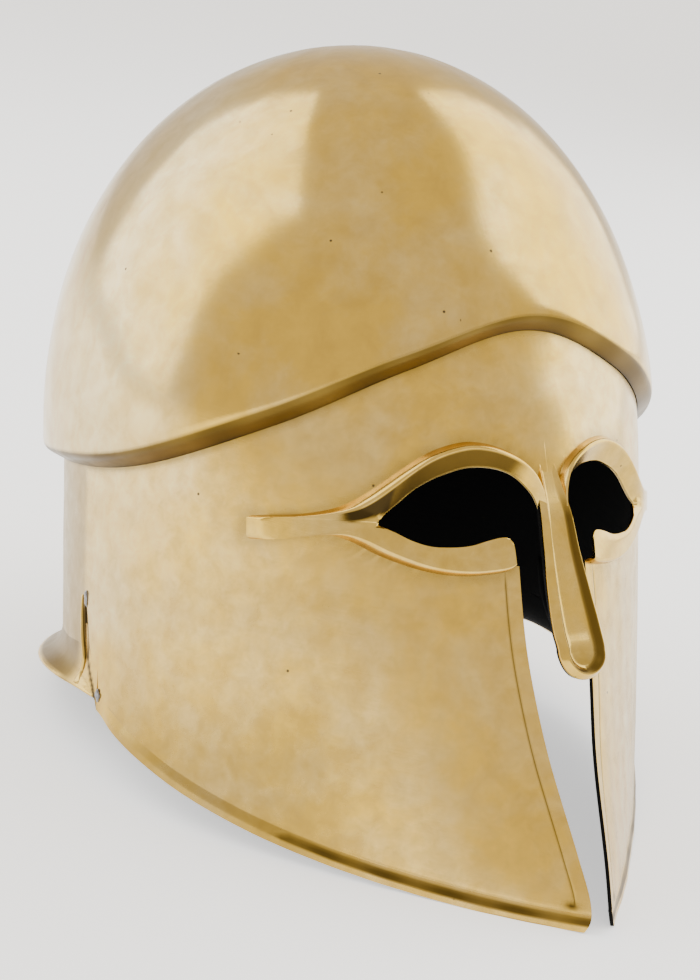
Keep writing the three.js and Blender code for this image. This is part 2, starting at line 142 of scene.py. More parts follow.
# Ribs across the raised border of an eye, from its outer foot to the edge of the opening:
# foot x, foot z, edge x, edge z, height at the edge, how long the rib stays high
BORDER_RIBS = [
    (3.4, -27.5, 5.2, -29, 0.2, 1),
    (4.2, -21, 6.3, -24.6, -0.4, 1),
    (6.2, -16.4, 8.6, -21.2, -1, 1),
    (10, -12.6, 11.8, -18.2, -1.4, 1),
    (15.2, -9.7, 16.4, -16.1, -1.6, 1),
    (21, -7.7, 21.5, -15.2, -1.7, 1),
    (27, -7, 26.8, -15.3, -1.7, 1),
    (33, -8, 32, -16.7, -1.7, 1),
    (39, -10.3, 37.2, -18.8, -1.6, 1),
    (45, -14.2, 42.4, -22, -1.4, 1),
    (50.5, -18.6, 46.9, -26.1, -1, 1.1),
    (55.5, -22.6, 50, -28.9, -0.45, 1.2),
    (61, -26.2, 51.2, -30.15, 0.2, 1.5),
    (67, -28.1, 51.75, -30.75, 0.6, 1.8),
    (74, -29.1, 51.95, -31, 0.75, 2),
    (79.4, -29.35, 52.02, -31.15, 0.8, 2),
    (80.4, -29.5, 52.05, -31.2, 0.8, 2),
    (81, -30.2, 52.08, -31.3, 0.8, 2),
    (81, -31.6, 52.1, -31.4, 0.8, 2),
    (81, -34.6, 52.1, -31.6, 0.85, 2),
    (81, -35.9, 52.08, -31.7, 0.85, 2),
    (80.4, -36.6, 52.05, -31.8, 0.85, 2),
    (79.4, -36.7, 52.02, -31.85, 0.85, 2),
    (74, -36, 51.95, -32, 0.9, 2),
    (68, -35.1, 51.75, -32.25, 1, 2),
    (63, -35.3, 51.1, -32.6, 1.3, 2),
    (58.4, -37.3, 49.9, -33.4, 1.8, 2),
    (53, -40.9, 48, -34.8, 2.5, 2.2),
    (47, -44, 44.6, -36.9, 2.7, 2),
    (41, -46.4, 40, -38.6, 2.8, 2),
    (34.5, -47.9, 34, -39.1, 2.8, 2),
    (28, -48.4, 28.5, -38.7, 2.8, 2),
    (22.5, -48.1, 23.5, -37.3, 2.8, 2),
    (18.6, -47.6, 19.3, -36.5, 2.8, 2),
    (16.8, -47.1, 17.4, -36.8, 2.8, 2),
    (15.9, -46.4, 16.2, -38.2, 2.8, 2),
]
BORDER_LIFT = 3.0

# The border's outer side: distance in from the foot, height over the wall
BORDER_RISE = [(-0.5, -0.9), (-0.12, -0.25), (0.12, 0.35), (0.38, 1.15), (0.68, 1.95)]
BORDER_RISE += [(1, 2.55), (1.35, 2.9), (1.75, 3)]

# Shares of the way from the border's crest to its edge where it has rows
BORDER_SLOPE = [0.05, 0.12, 0.22, 0.34, 0.46, 0.58, 0.7, 0.8, 0.88, 0.94, 0.98]

# The wall behind a border is cut away inside its foot, less far in at the lower lid's inner end,
# and not behind the tail.  Between the eyes the cut ends at the cheeks' tops.
HOLE_INSET = 2.2
LID_INSET = 0.9
TAIL_START = 58.5
CHEEK_TOPS = [[10.0, -46.4], [0.0, -46.4], [0.0, -26.0]]


# ---- reading the tables ----


def reader(rows, column):
    """A smooth reader for one column of a table sorted by its first column.  Beyond its ends the
    table goes on as if mirrored there."""
    places = [row[0] for row in rows]
    values = [row[column] for row in rows]
    places = np.array([2 * places[0] - places[1], *places, 2 * places[-1] - places[-2]], float)
    values = np.array([values[1], *values, values[-2]], float)

    def read(at):
        at = np.clip(np.asarray(at, float), places[1], places[-2])
        right = np.clip(np.searchsorted(places, at, side="right"), 2, len(places) - 2)
        before, start, end, after = (places[right + step] for step in (-2, -1, 0, 1))
        p = (at - start) / (end - start)
        half = (end - start) / 2
        w_before, w_after = half / (start - before), half / (after - end)
        shares = (
            -w_before * p**3 + 2 * w_before * p**2 - w_before * p,
            (1 + w_before) * p**3 + (-1.5 - 2 * w_before) * p**2 + (-0.5 + w_before) * p + 1,
            (-1 - w_after) * p**3 + (1.5 + w_after) * p**2 + 0.5 * p,
            w_after * p**3 - w_after * p**2,
        )
        return sum(share * values[right + step] for share, step in zip(shares, (-2, -1, 0, 1)))

    return read


crest_height = reader(RIM_CREST, 1)
wall_half, wall_front, wall_back, wall_keel = (reader(WALL_ROWS, i) for i in (1, 2, 3, 4))
front_gap = reader(FRONT_EDGE, 1)
neck_reach, neck_level = reader(NECK_LIP, 1), reader(NECK_LIP, 2)
slit_turn = reader(SLIT, 1)
flange_share = reader(FLARE, 1)


def smooth(low, high, value):
    """0 up to low and 1 from high on, eased between.  With low above high it falls instead."""
    t = np.clip((np.asarray(value, float) - low) / (high - low), 0, 1)
    return t * t * (3 - 2 * t)


def hill(value, middle, width, power=2):
    """1 at the middle, dropping to nothing on both sides.  A higher power makes a flatter top."""
    return np.exp(-(((value - middle) / width) ** power))


def mix(a, b, t):
    return a + (b - a) * t


# ---- the helmet's surfaces ----


def bezier(points, t):
    """The place at t on a curve with four control points, and its slope there."""
    w = 1 - t
    at = w**3 * points[0] + 3 * w * w * t * points[1] + 3 * w * t * t * points[2] + t**3 * points[3]
    steps = [b - a for a, b in zip(points, points[1:])]
    return at, 3 * w * w * steps[0] + 6 * w * t * steps[1] + 3 * t * t * steps[2]


def plan_point(turn, half, front, back, keel, offset):
    """A point of the egg-shaped plan at a turn, as x and y."""
    turn = np.asarray(turn, float)
    ahead = turn <= 90
    t = np.where(ahead, turn / 90, turn / 90 - 1)
    ahead_x = (0, CIRCLE_PULL * half, half, half)
    behind_x = (half, half, BACK_PULL * half, 0)
    full_y = -front * (1 - KEEL_PULL_AHEAD * keel)
    side_y = -front * (CIRCLE_PULL - KEEL_PULL_SIDE * keel)
    ahead_y = (-front, full_y, side_y, 0)
    behind_y = (0, BACK_PULL * back, back, back)
    x, dx = bezier([np.where(ahead, a, b) for a, b in zip(ahead_x, behind_x)], t)
    y, dy = bezier([np.where(ahead, a, b) for a, b in zip(ahead_y, behind_y)], t)
    size = np.hypot(dx, dy)
    nx, ny = dy / size, -dx / size
    # Right ahead the offset keeps to the middle plane, where the two halves meet
    least_cosine = 0.2
    ny = np.where(turn <= 0, -1 / np.maximum(dx / size, least_cosine), ny)
    nx = np.where(turn <= 0, 0, nx)
    return x + nx * offset, y + ny * offset


def wall_point(turn, level, offset):
    """Points of the face wall, offset outwards, as an array of x, y, z."""
    turn, level, offset = np.broadcast_arrays(*(np.asarray(a, float) for a in (turn, level, offset)))
    plan = (wall_half(level), wall_front(level), wall_back(level), wall_keel(level))
    x, y = plan_point(turn, *plan, offset)
    return np.stack([x, y, level], -1)


def turn_at(x, level, offset=0.0):
    """The turn where the front of the wall, offset outwards, is x to the side."""
    x, level, offset = np.broadcast_arrays(*(np.asarray(a, float) for a in (x, level, offset)))
    low, high = np.zeros(x.shape), np.full(x.shape, 90.0)
    halvings = 26
    for _ in range(halvings):
        middle = (low + high) / 2
        beyond = wall_point(middle, level, offset)[..., 0] > x
        low, high = np.where(beyond, low, middle), np.where(beyond, middle, high)
    return (low + high) / 2


def warmth(turn):
    """How golden the brass is round the helmet: gold over the face, paler towards the back, where the
    paleness is a painted highlight of the soft boxes.
    """
    return smooth(86, 56, turn)


def hammered(turn, level):
    """How far the beaten sheet wanders from its true shape."""

    def wave(rate_up, rate_round, phase):
        return np.sin(rate_up * level + rate_round * turn + phase)

    return sum(depth * (wave(*first) * wave(*second)) for depth, first, second in BEATEN_WAVES)


def seam_level(turn):
    """The level of the seam, where the bowl's turned-in face meets the wall."""
    return crest_height(turn) - RIM_DROP


def wall_relief(turn, level):
    """The beaten wall's waviness, its long dents, and the rounding of the forehead's middle."""
    beaten = hammered(turn, level) * smooth(2, 12, seam_level(turn) - level) * smooth(0, 6, turn)
    upright = np.sin(0.95 * turn + 0.012 * level)
    dents = LONG_DENTS * upright * smooth(52, 40, turn) * smooth(-40, -60, level)
    across = wall_point(turn, level, 0.0)[..., 0]
    slope = KEEL_SLOPE * wall_keel(level) * wall_front(level) / wall_half(level)
    rounded = (np.hypot(across, BROW_ROUND) - across) * slope * smooth(-46, -30, level)
    return beaten + dents - rounded


def wall_bottom(turn):
    """The level of the wall's lower edge."""
    cheek = TIP_LEVEL + CHEEK_RISE * (np.minimum(turn, CHEEK_BACK) / 90) ** CHEEK_BOW
    return mix(cheek, NAPE_LEVEL, smooth(CHEEK_BACK, NAPE_TURN, turn))


def at_rest(points, side=1):
    """Worn millimetres to metres as the helmet rests.  Side -1 mirrors to the wearer's right."""
    points = np.asarray(points, float) * np.array([side, 1, 1])
    c, s = math.cos(REST_PITCH), math.sin(REST_PITCH)
    x, y, z = points[..., 0], points[..., 1], points[..., 2]
    moved = np.stack([x, c * y - s * z, s * y + c * z], -1) + np.array(REST_SHIFT)
    return moved / 1000


# ---- making meshes ----


def laid_grid(places, dirt_and_shade=0.0, side=1, tone=0.7):
    """A bmesh grid whose corners are laid at places[row][column], in worn millimetres.  Its dirt and
    shade, real dirt in places and painted shade in others, darkens the brass, and tone takes it from
    cream, in places a painted highlight, to gold."""
    rows, columns = places.shape[:2]
    laid = at_rest(places, side)
    laid[..., 2] = np.maximum(laid[..., 2], FLOOR_CLEAR)
    dirt_and_shade = np.broadcast_to(dirt_and_shade, (rows, columns))
    tone = np.broadcast_to(tone, (rows, columns))
    bm = bmesh.new()
    dirt_and_shade_layer = bm.verts.layers.float.new("dirt_and_shade")
    tone_layer = bm.verts.layers.float.new("tone")
    bmesh.ops.create_grid(bm, x_segments=columns - 1, y_segments=rows - 1, size=1.0)
    for v in bm.verts:
        j = round((v.co.x + 1) / 2 * (columns - 1))
        i = round((v.co.y + 1) / 2 * (rows - 1))
        v.co = Vector(laid[i, j])
        v[dirt_and_shade_layer] = float(dirt_and_shade[i, j])
        v[tone_layer] = float(tone[i, j])
    return bm


def paint_inside(bm, columns, rows=(), strips=()):
    """Gives the second material to a grid's faces in these rows, or in these strips across."""
    bm.faces.ensure_lookup_table()
    for index, face in enumerate(bm.faces):
        row, strip = divmod(index, columns - 1)
        face.material_index = 1 if row in rows or strip in strips else 0
    return bm


def joined(halves):
    """Adds the second of two bmeshes to the first."""
    first, second = halves
    spare = bpy.data.meshes.new("spare")
    second.to_mesh(spare)
    second.free()
    first.from_mesh(spare)
    bpy.data.meshes.remove(spare)
    return first


def weld(bm, gap=0.00002):
    """Joins vertices closer than a gap in metres, and clears away what then has no area."""
    no_area, no_length = 1e-13, 0.000005
    bmesh.ops.remove_doubles(bm, verts=bm.verts, dist=gap)
    if any(face.calc_area() < no_area for face in bm.faces):
        bmesh.ops.dissolve_degenerate(bm, edges=bm.edges, dist=no_length)


def closed_shell(bm):
    """Welds a shell shut and turns its faces outwards."""
    weld(bm)
    bmesh.ops.recalc_face_normals(bm, faces=bm.faces)
    if bm.calc_volume(signed=True) < 0:
        bmesh.ops.reverse_faces(bm, faces=bm.faces)
    return bm


def closed_tube(bm):
    """Welds a tube, fills its open ends and turns its faces outwards."""
    weld(bm)
    ends = [edge for edge in bm.edges if edge.is_boundary]
    bmesh.ops.holes_fill(bm, edges=ends, sides=0)
    return closed_shell(bm)


def new_object(name, data):
    obj = bpy.data.objects.new(name, data)
    bpy.context.scene.collection.objects.link(obj)
    return obj


def new_mesh(name, bm):
    mesh = bpy.data.meshes.new(name)
    bm.to_mesh(mesh)
    bm.free()
    return mesh


def piece(name, bm, materials, stands_for="face_wall", crisp=None):
    """Makes the bmesh an object that rides with the helmet and stands for a solid.  Edges
    sharper than crisp, in degrees, stay sharp."""
    mesh = new_mesh(name, bm)
    for polygon in mesh.polygons:
        polygon.use_smooth = True
    if crisp:
        mesh.set_sharp_from_angle(angle=math.radians(crisp))
    for material in materials:
        mesh.materials.append(material)
    obj = new_object(name, mesh)
    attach(obj, "root")
    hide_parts(stands_for)
    return obj


# ---- finishes ----

FILM_BROWN = (0.47, 0.29, 0.05)
PIT_BROWN = (0.1, 0.07, 0.035)
# Brown and black that paint both dirt and painted shade, where the mesh's dirt_and_shade asks for them
DIRT_AND_SHADE_BROWN = (0.11, 0.066, 0.012)
DIRT_AND_SHADE_BLACK = (0.02, 0.014, 0.007)


def node_group(name, inputs, outputs):
    """A new shader group with its number inputs and outputs, and its two end nodes."""
    group = bpy.data.node_groups.new(name, "ShaderNodeTree")
    for label, value in inputs:
        socket = group.interface.new_socket(name=label, in_out="INPUT", socket_type="NodeSocketFloat")
        socket.default_value = value
    for label in outputs:
        group.interface.new_socket(name=label, in_out="OUTPUT", socket_type="NodeSocketFloat")
    return group, group.nodes.new("NodeGroupInput"), group.nodes.new("NodeGroupOutput")


def add(tree, kind, links=(), **settings):
    """A node with its settings, and links given as (socket, source) or (socket, value)."""
    node = tree.nodes.new(kind)
    for key, value in settings.items():
        setattr(node, key, value)
    for socket, source in links:
        if isinstance(source, bpy.types.NodeSocket):
            tree.links.new(source, node.inputs[socket])
        else:
            node.inputs[socket].default_value = source
    return node


def maths(tree, operation, *values, clamp=False):
    """The result of a Math node for sources or numbers."""
    sockets = enumerate(values)
    return add(tree, "ShaderNodeMath", sockets, operation=operation, use_clamp=clamp).outputs[0]


def times_plus(tree, value, factor, more=0.0, clamp=False):
    """A value times a factor, plus more."""
    return maths(tree, "MULTIPLY_ADD", value, factor, more, clamp=clamp)


def blend(tree, factor, first, second):
    """The colour that a Mix node gives.  Each of the two is a source, or red, green and blue."""
    ends = [(*end, 1) if isinstance(end, tuple) else end for end in (first, second)]
    links = [("Factor", factor), (6, ends[0]), (7, ends[1])]
    return add(tree, "ShaderNodeMix", links, data_type="RGBA").outputs[2]


def object_place(tree, scale=None, rotation=(0.0, 0.0, 0.0)):
    """The place on the object, as a source, stretched where a scale is given."""
    where = add(tree, "ShaderNodeTexCoord").outputs["Object"]
    if scale is None:
        return where
    links = [("Vector", where), ("Rotation", rotation), ("Scale", scale)]
    return add(tree, "ShaderNodeMapping", links).outputs[0]


def noise(tree, where, scale, detail, **more):
    """A Noise Texture's value, with more of its sockets by name."""
    links = [("Vector", where), ("Scale", scale), ("Detail", detail), *more.items()]
    return add(tree, "ShaderNodeTexNoise", links).outputs["Fac"]


def make_clouds():
    """Soft blotches of tarnish: a mask from 0 to 1 with broad and small clouds."""
    tree, given, result = node_group("tarnish_clouds", [("Scale", 14.0)], ["Clouds", "Mottle"])
    where = object_place(tree)
    broad = noise(tree, where, given.outputs["Scale"], 6.0, Roughness=0.62, Distortion=0.3)
    finer = maths(tree, "MULTIPLY", given.outputs["Scale"], 4.3)
    small = noise(tree, where, finer, 6.0, Roughness=0.6, Distortion=0.3)
    centred = maths(tree, "SUBTRACT", broad, 0.5)
    tree.links.new(times_plus(tree, centred, 3.2, 0.5, clamp=True), result.inputs["Clouds"])
    tree.links.new(times_plus(tree, small, 3.0, -1.0, clamp=True), result.inputs["Mottle"])
    return tree


def make_polish():
    """Fine rubbing lines and shallow hammer dents as a height, and dark pits as a mask."""
    outputs = ["Height", "Pits", "Streaks"]
    tree, given, result = node_group("polish_marks", [("Dents", 1.0)], outputs)
    where = object_place(tree)
    along = object_place(tree, (1.0, 1.0, 26.0), (0.2, 0.1, 0.3))
    across = object_place(tree, (22.0, 1.0, 1.0), (0.0, 0.5, 0.4))
    lines = noise(tree, along, 60.0, 4.0, Roughness=0.7)
    cross = noise(tree, across, 55.0, 3.0, Roughness=0.7)
    rubbed = maths(tree, "ADD", lines, cross)
    dents = noise(tree, where, 22.0, 2.0, Roughness=0.4)
    deep = maths(tree, "MULTIPLY", dents, given.outputs["Dents"])
    height = times_plus(tree, rubbed, 0.012, deep)

    cells = add(tree, "ShaderNodeTexVoronoi", [("Vector", where), ("Scale", 95.0)], feature="F1")
    dot_radius = 0.055
    dots = maths(tree, "SUBTRACT", dot_radius, cells.outputs["Distance"])
    sharp = maths(tree, "MULTIPLY", dots, 40.0, clamp=True)
    rare = maths(tree, "GREATER_THAN", noise(tree, where, 31.0, 1.0), 0.52)
    pits = maths(tree, "MULTIPLY", sharp, rare)
    for source, label in zip((height, pits, lines), outputs):
        tree.links.new(source, result.inputs[label])
    return tree


def blank_material(name):
    material = bpy.data.materials.new(name)
    material.use_nodes = True
    material.node_tree.nodes.clear()
    return material, material.node_tree


def relief(tree, height, strength, distance):
    """The Normal socket's link to a bump."""
    links = [("Height", height), ("Strength", strength), ("Distance", distance)]
    return "Normal", add(tree, "ShaderNodeBump", links).outputs[0]


def finish(tree, sockets):
    """Ends a material in a Principled shader with these values and sources."""
    shader = add(tree, "ShaderNodeBsdfPrincipled", sockets)
    add(tree, "ShaderNodeOutputMaterial", [("Surface", shader.outputs[0])])


clouds_group = make_clouds()
polish_group = make_polish()


def polished_brass(name, pale, warm, rough, dents, scale):
    """Brass with tarnish clouds, rubbing lines, pits, and dirt and painted shade where the mesh asks
    for it.
    """
    material, tree = blank_material(name)
    tarnish = add(tree, "ShaderNodeGroup", [("Scale", scale)], node_tree=clouds_group)
    clouds, mottle = tarnish.outputs["Clouds"], tarnish.outputs["Mottle"]
    polish = add(tree, "ShaderNodeGroup", [("Dents", dents)], node_tree=polish_group)
    dirt_and_shade = add(tree, "ShaderNodeAttribute", attribute_name="dirt_and_shade").outputs["Fac"]
    tone = add(tree, "ShaderNodeAttribute", attribute_name="tone").outputs["Fac"]

    # Pale where tone is low, a painted highlight of the soft boxes, and gold where it is high
    golden = times_plus(tree, tone, 0.68, times_plus(tree, clouds, 0.6, -0.12), clamp=True)
    colour = blend(tree, golden, pale, warm)
    colour = blend(tree, maths(tree, "MULTIPLY", mottle, 0.5), colour, FILM_BROWN)
    colour = blend(tree, polish.outputs["Pits"], colour, PIT_BROWN)
    # Dirt and painted shade are brown up to 0.8, and from there to 1 they turn black
    colour = blend(tree, maths(tree, "MULTIPLY", dirt_and_shade, 1.25, clamp=True), colour, DIRT_AND_SHADE_BROWN)
    colour = blend(tree, times_plus(tree, dirt_and_shade, 5.0, -4.0, clamp=True), colour, DIRT_AND_SHADE_BLACK)

    dull = times_plus(tree, mottle, 0.07, rough)
    streaked = times_plus(tree, polish.outputs["Streaks"], 0.06, dull)
    dirty = times_plus(tree, dirt_and_shade, 0.2, streaked)
    bump = relief(tree, polish.outputs["Height"], 0.4, 0.0016)
    finish(tree, [("Base Color", colour), ("Roughness", dirty), ("Metallic", 1.0), bump])
    return material


def black_paint():
    """Matt black paint brushed on the inside, a little uneven."""
    material, tree = blank_material("black_paint")
    strokes = noise(tree, object_place(tree, (1.0, 1.0, 9.0)), 50.0, 5.0)
    colour = blend(tree, strokes, (0.0012, 0.0012, 0.0013), (0.004, 0.0038, 0.0036))
    rough = times_plus(tree, strokes, 0.15, 0.7)
    bump = relief(tree, strokes, 0.3, 0.0003)
    finish(tree, [("Base Color", colour), ("Roughness", rough), ("Specular IOR Level", 0.1), bump])
    return material


def solder():
    """Grey soft solder, lumpy and dull."""
    material, tree = blank_material("solder")
    lumps = noise(tree, object_place(tree), 900.0, 4.0)
    colour = blend(tree, lumps, (0.1, 0.1, 0.11), (0.5, 0.5, 0.52))
    bump = relief(tree, lumps, 0.8, 0.0006)
    finish(tree, [("Base Color", colour), ("Roughness", 0.42), ("Metallic", 0.9), bump])
    return material


# Name, pale and warm colour, roughness, depth of the hammer dents, scale of the clouds
skull_brass = polished_brass("skull_brass", (0.77, 0.61, 0.32), (0.70, 0.45, 0.075), 0.11, 1.0, 24.0)
wall_brass = polished_brass("wall_brass", (0.78, 0.61, 0.31), (0.76, 0.49, 0.085), 0.16, 0.8, 34.0)
trim_brass = polished_brass("trim_brass", (0.76, 0.56, 0.22), (0.69, 0.44, 0.06), 0.10, 0.3, 50.0)
inside_black = black_paint()
grey_solder = solder()


# ---- skull bowl ----

DOME_SUNK = 0.12  # how far the dome's beaten part lies under its true shape
LIP_STEPS = [0.0, 0.15, 0.3, 0.42, 0.54, 0.66, 0.8, 1.0]
UNDERSIDE_STEPS = [0.3, 0.55, 0.75, 0.88, 1.0]


def dome_point(turn, share, inset):
    """A point of the dome at a share of the way from the crown down to the rim's crest."""
    lowest = np.arcsin(crest_height(turn) / SKULL_HEIGHT)
    slope = mix(np.pi / 2, lowest, share)
    up = np.maximum(slope, 0)
    reach = np.maximum(np.cos(up), 0) ** (2 / SKULL_FULLNESS)
    spread = RIM_FLARE * smooth(RIM_FLARE_START, 1, share) - inset
    edge = plan_point(turn, **SKULL, offset=0.0)
    lean = plan_point(turn, **SKULL, offset=1.0)
    x = edge[0] * reach + (lean[0] - edge[0]) * spread * reach
    y = edge[1] * reach + (lean[1] - edge[1]) * spread * reach
    return np.stack([x, y, SKULL_HEIGHT * np.sin(slope) - inset * np.sin(up)], -1)


def dome_sunk(turn, share):
    """How far the dome lies in, from its crown to just above the rim."""
    beaten = 1 + 8 * hammered(turn, 130 * (1 - share))
    return DOME_SUNK * smooth(0, 0.2, share) * smooth(0.9, 0.8, share) * beaten


def skull_section(turn):
    """Rows of an upright cut: crown to rim outside, round the lip, the rim's underside, and back
    up inside.  Also the painted shade that each row carries under the rim, and the first row of the
    inside."""
    crest = crest_height(turn)
    seam = seam_level(turn)
    shares = [0, 0.012, 0.03, 0.06] + [0.1 + 0.84 * i / 42 for i in range(43)] + [0.958, 0.972, 0.982]
    rows = [dome_point(turn, share, dome_sunk(turn, share)) for share in shares]
    dirt_and_shade = [0.0] * len(rows)

    above = dome_point(turn, 0.99, 0)
    corner = dome_point(turn, 1, -0.25)
    corner[..., 2] = crest - 1.5
    end = wall_point(turn, seam, SEAM_GAP)
    under = mix(corner, end, 0.34)
    # The lip's lower side, the rim's underside and the first inside row are painted dark: a painted
    # dark reflection and shade, black by the seam
    for t in LIP_STEPS:
        rows.append(above * (1 - t) ** 2 + corner * 2 * t * (1 - t) + under * t * t)
        dirt_and_shade.append(0.83 * smooth(0.3, 0.56, t))
    for t in UNDERSIDE_STEPS:
        rows.append(mix(under, end, t))
        dirt_and_shade.append(0.84 + 0.14 * t**4)

    inside_from = len(rows)
    rows.append(wall_point(turn, seam + SHEET, SEAM_GAP))
    dirt_and_shade.append(0.9)
    roof = dome_point(turn, 1, SHEET + LIP_ROUND * 0.5)
    roof[..., 2] = crest - LIP_ROUND + SHEET
    rows.append(roof)
    rows += [dome_point(turn, 1 - i / 24, SHEET) for i in range(25)]
    dirt_and_shade += [0.0] * 26
    return rows, dirt_and_shade, inside_from


def make_skull():
    turns = np.concatenate([np.arange(0, 60, 1.5), np.arange(60, 180, 2.5), [180]])
    rows, dirt_and_shade, inside_from = skull_section(turns)
    # The rim's painted shade varies in patches round the helmet
    streaks = 0.93 + 0.07 * np.sin(turns * 0.35) * np.sin(turns * 0.13)
    marks = np.outer(dirt_and_shade, streaks)
    painted = range(inside_from, len(rows))
    halves = [laid_grid(np.stack(rows), marks, side, warmth(turns)) for side in (1, -1)]
    shell = closed_shell(joined(paint_inside(half, len(turns), rows=painted) for half in halves))
    return piece("skull_bowl_shell", shell, [skull_brass, inside_black], "skull_bowl", crisp=50)


# ---- face wall ----

# Rows and columns of the wall's grid: rows above the edge band, heights of the rows near the
# lower edge, distances of the columns near the front edge, columns from there to the slit,
# distances of the columns across the slit, and columns behind it
UPPER_ROWS = 60
EDGE_ROWS = [12.0, 9.5, 7.6, 6.6, 6.0, 5.6, 5.2, 4.4, 3.4, 2.5, 2.0, 1.6, 1.1, 0.6, 0.25, 0.0]
FRONT_COLUMNS = [0, 0.3, 0.7, 1.4, 2.4, 3.4, 4.1, 4.5, LINE_IN, 5.1, 5.5, 6.2, 7.2, 8.6]
FRONT_COLUMNS += [10, 12, 14, 16, 18.5, 21, 24, 27]
CHEEK_COLUMNS = 54
SLIT_COLUMNS = [-2.0, -1.1, -0.65, -0.42, 0.0, 0.42, 0.65, 1.1, 2.0]
BACK_COLUMNS = 32


def front_turn(level):
    """Where the wall starts: the middle of the forehead above, the cheek's front edge below."""
    return turn_at(front_gap(level) * smooth(-30, -46, level), level)


def walk(turn, level, distance):
    """The turn reached after walking a distance in millimetres backwards round the wall."""
    strides = 4
    for _ in range(strides):
        here, ahead = wall_point(turn, level, 0.0), wall_point(turn + 1, level, 0.0)
        turn = turn + distance / strides / np.linalg.norm(ahead - here, axis=-1)
    return turn


def wall_row_level(row, turn):
    """The level of a row of the wall's grid, from inside the bowl down to the lower edge."""
    bottom, seam = wall_bottom(turn), seam_level(turn)
    if row == 0:
        return seam + TUCK
    if row <= UPPER_ROWS + 1:
        return mix(seam + 0.6, bottom + EDGE_ROWS[0] + 3, (row - 1) / UPPER_ROWS)
    return bottom + EDGE_ROWS[row - UPPER_ROWS - 2]


def wall_grid():
    """Turns and levels of the wall's rows and columns on the wearer's left."""
    near_slit = np.array(SLIT_COLUMNS) / DEGREE
    fronts = len(FRONT_COLUMNS)
    slit_from = fronts + CHEEK_COLUMNS
    slit_to = slit_from + len(near_slit)
    between_shares = (np.arange(CHEEK_COLUMNS) + 1) / (CHEEK_COLUMNS + 1)
    back_shares = (np.arange(BACK_COLUMNS) + 1) / BACK_COLUMNS
    cheek_guess, back_guess = np.linspace(24, 90, CHEEK_COLUMNS), np.linspace(99, 180, BACK_COLUMNS)
    guess = np.concatenate([np.linspace(4, 22, fronts), cheek_guess, 95 + near_slit, back_guess])
    rounds = 5
    turns, levels = [], []
    for row in range(2 + UPPER_ROWS + len(EDGE_ROWS)):
        turn = guess
        for _ in range(rounds):
            level = wall_row_level(row, turn)
            front_level = level[:fronts]
            front = walk(front_turn(front_level), front_level, np.array(FRONT_COLUMNS))
            slit = slit_turn(level[slit_from:slit_to]) + near_slit
            between = mix(front[-1], slit[0], between_shares)
            turn = np.concatenate([front, between, slit, mix(slit[-1], 180.0, back_shares)])
        turns.append(turn)
        levels.append(level)
    return np.array(turns), np.array(levels)


class WallMarks:
    """Where the corners of the wall's grid lie from its edges, and how much each mark covers them."""

    def __init__(self, turns, levels):
        front = wall_point(front_turn(levels), levels, 0.0)
        self.turns, self.levels = turns, levels
        self.from_front = np.linalg.norm(wall_point(turns, levels, 0.0) - front, axis=-1)
        self.over = levels - wall_bottom(turns)
        self.under_seam = seam_level(turns) - levels
        self.past_slit = (turns - slit_turn(levels)) * DEGREE
        self.cheek = 1 - smooth(84, 91, turns)
        line_ends = smooth(-47, -50, levels) * smooth(6.5, 9.5, self.over)
        self.line = hill(self.from_front, LINE_IN, 0.3) * line_ends
        self.slit_open = np.clip(1 - ((levels - SLIT_MIDDLE) / SLIT_HALF) ** 4, 0, 1)
        self.slit_ends = smooth(0, 0.25, self.slit_open)


def wall_offset(marks):
    """How far the wall stands out: beaten relief, folded band, scribed line, slit and flare."""
    fold = 0.75 * smooth(EDGE_BAND, 1.9, marks.over) * marks.cheek * smooth(5, 16, marks.turns)
    crease = -0.12 * hill(marks.over, EDGE_BAND, 0.35) * marks.cheek
    slit = hill(marks.past_slit, 0.0, 0.2 + 0.8 * marks.slit_open, 4) * marks.slit_ends
    lip = neck_level(marks.turns)
    at_lip = smooth(lip + 12, lip + 4, marks.levels)
    under_flare = at_lip * smooth(NAPE_TURN - 2, NAPE_TURN + 4, marks.turns)
    relief = wall_relief(marks.turns, marks.levels)
    return relief + fold + crease - 0.16 * marks.line - 0.8 * slit - 0.5 * under_flare


def wall_dirt_and_shade(marks, places):
    """Darker along the scribed line and the band's crease, a smudge by the cheek's tip, darker behind
    the slit, and painted shade at the borders' feet, under the rim and in the slit, with a painted
    dark reflection on the edge band.
    """
    turns, over = marks.turns, marks.over
    foot = np.array(BORDER_RIBS)[:, 0:2]
    to_border = nearest(places[..., [0, 2]].reshape(-1, 2), foot)[1].reshape(turns.shape)
    # Painted shade at the borders' feet
    by_border = 0.3 * hill(to_border, 0.0, 2.2) * (places[..., 1] < 0)
    # Painted shade under the rim
    under_rim = 0.55 * hill(marks.under_seam, 0.0, 1.5)
    smudge = 0.9 * np.exp(-((marks.from_front - 6.0) ** 2 / 5 + (over - 7.6) ** 2 / 2.2))
    crease = 0.3 * hill(over, EDGE_BAND + 0.3, 0.35) * marks.cheek
    in_lines = np.clip(0.75 * marks.line + crease, 0, 1)
    # Painted dark reflection on the folded edge band
    in_band = smooth(1.7, 2.2, over) * smooth(EDGE_BAND - 0.2, EDGE_BAND - 1.5, over)
    band = (0.78 + 0.06 * np.sin(turns * 0.7)) * in_band * smooth(51, 47, turns + 0.8 * over)
    # Darker behind the slit
    back = 0.42 * smooth(-1.0, 1.5, marks.past_slit / DEGREE)
    # Painted shade in the slit
    slit = 0.98 * hill(marks.past_slit, 0.5, 0.3 + 1.2 * marks.slit_open, 4) * marks.slit_ends
    return np.maximum.reduce([in_lines, back, band, by_border, under_rim, smudge, slit])


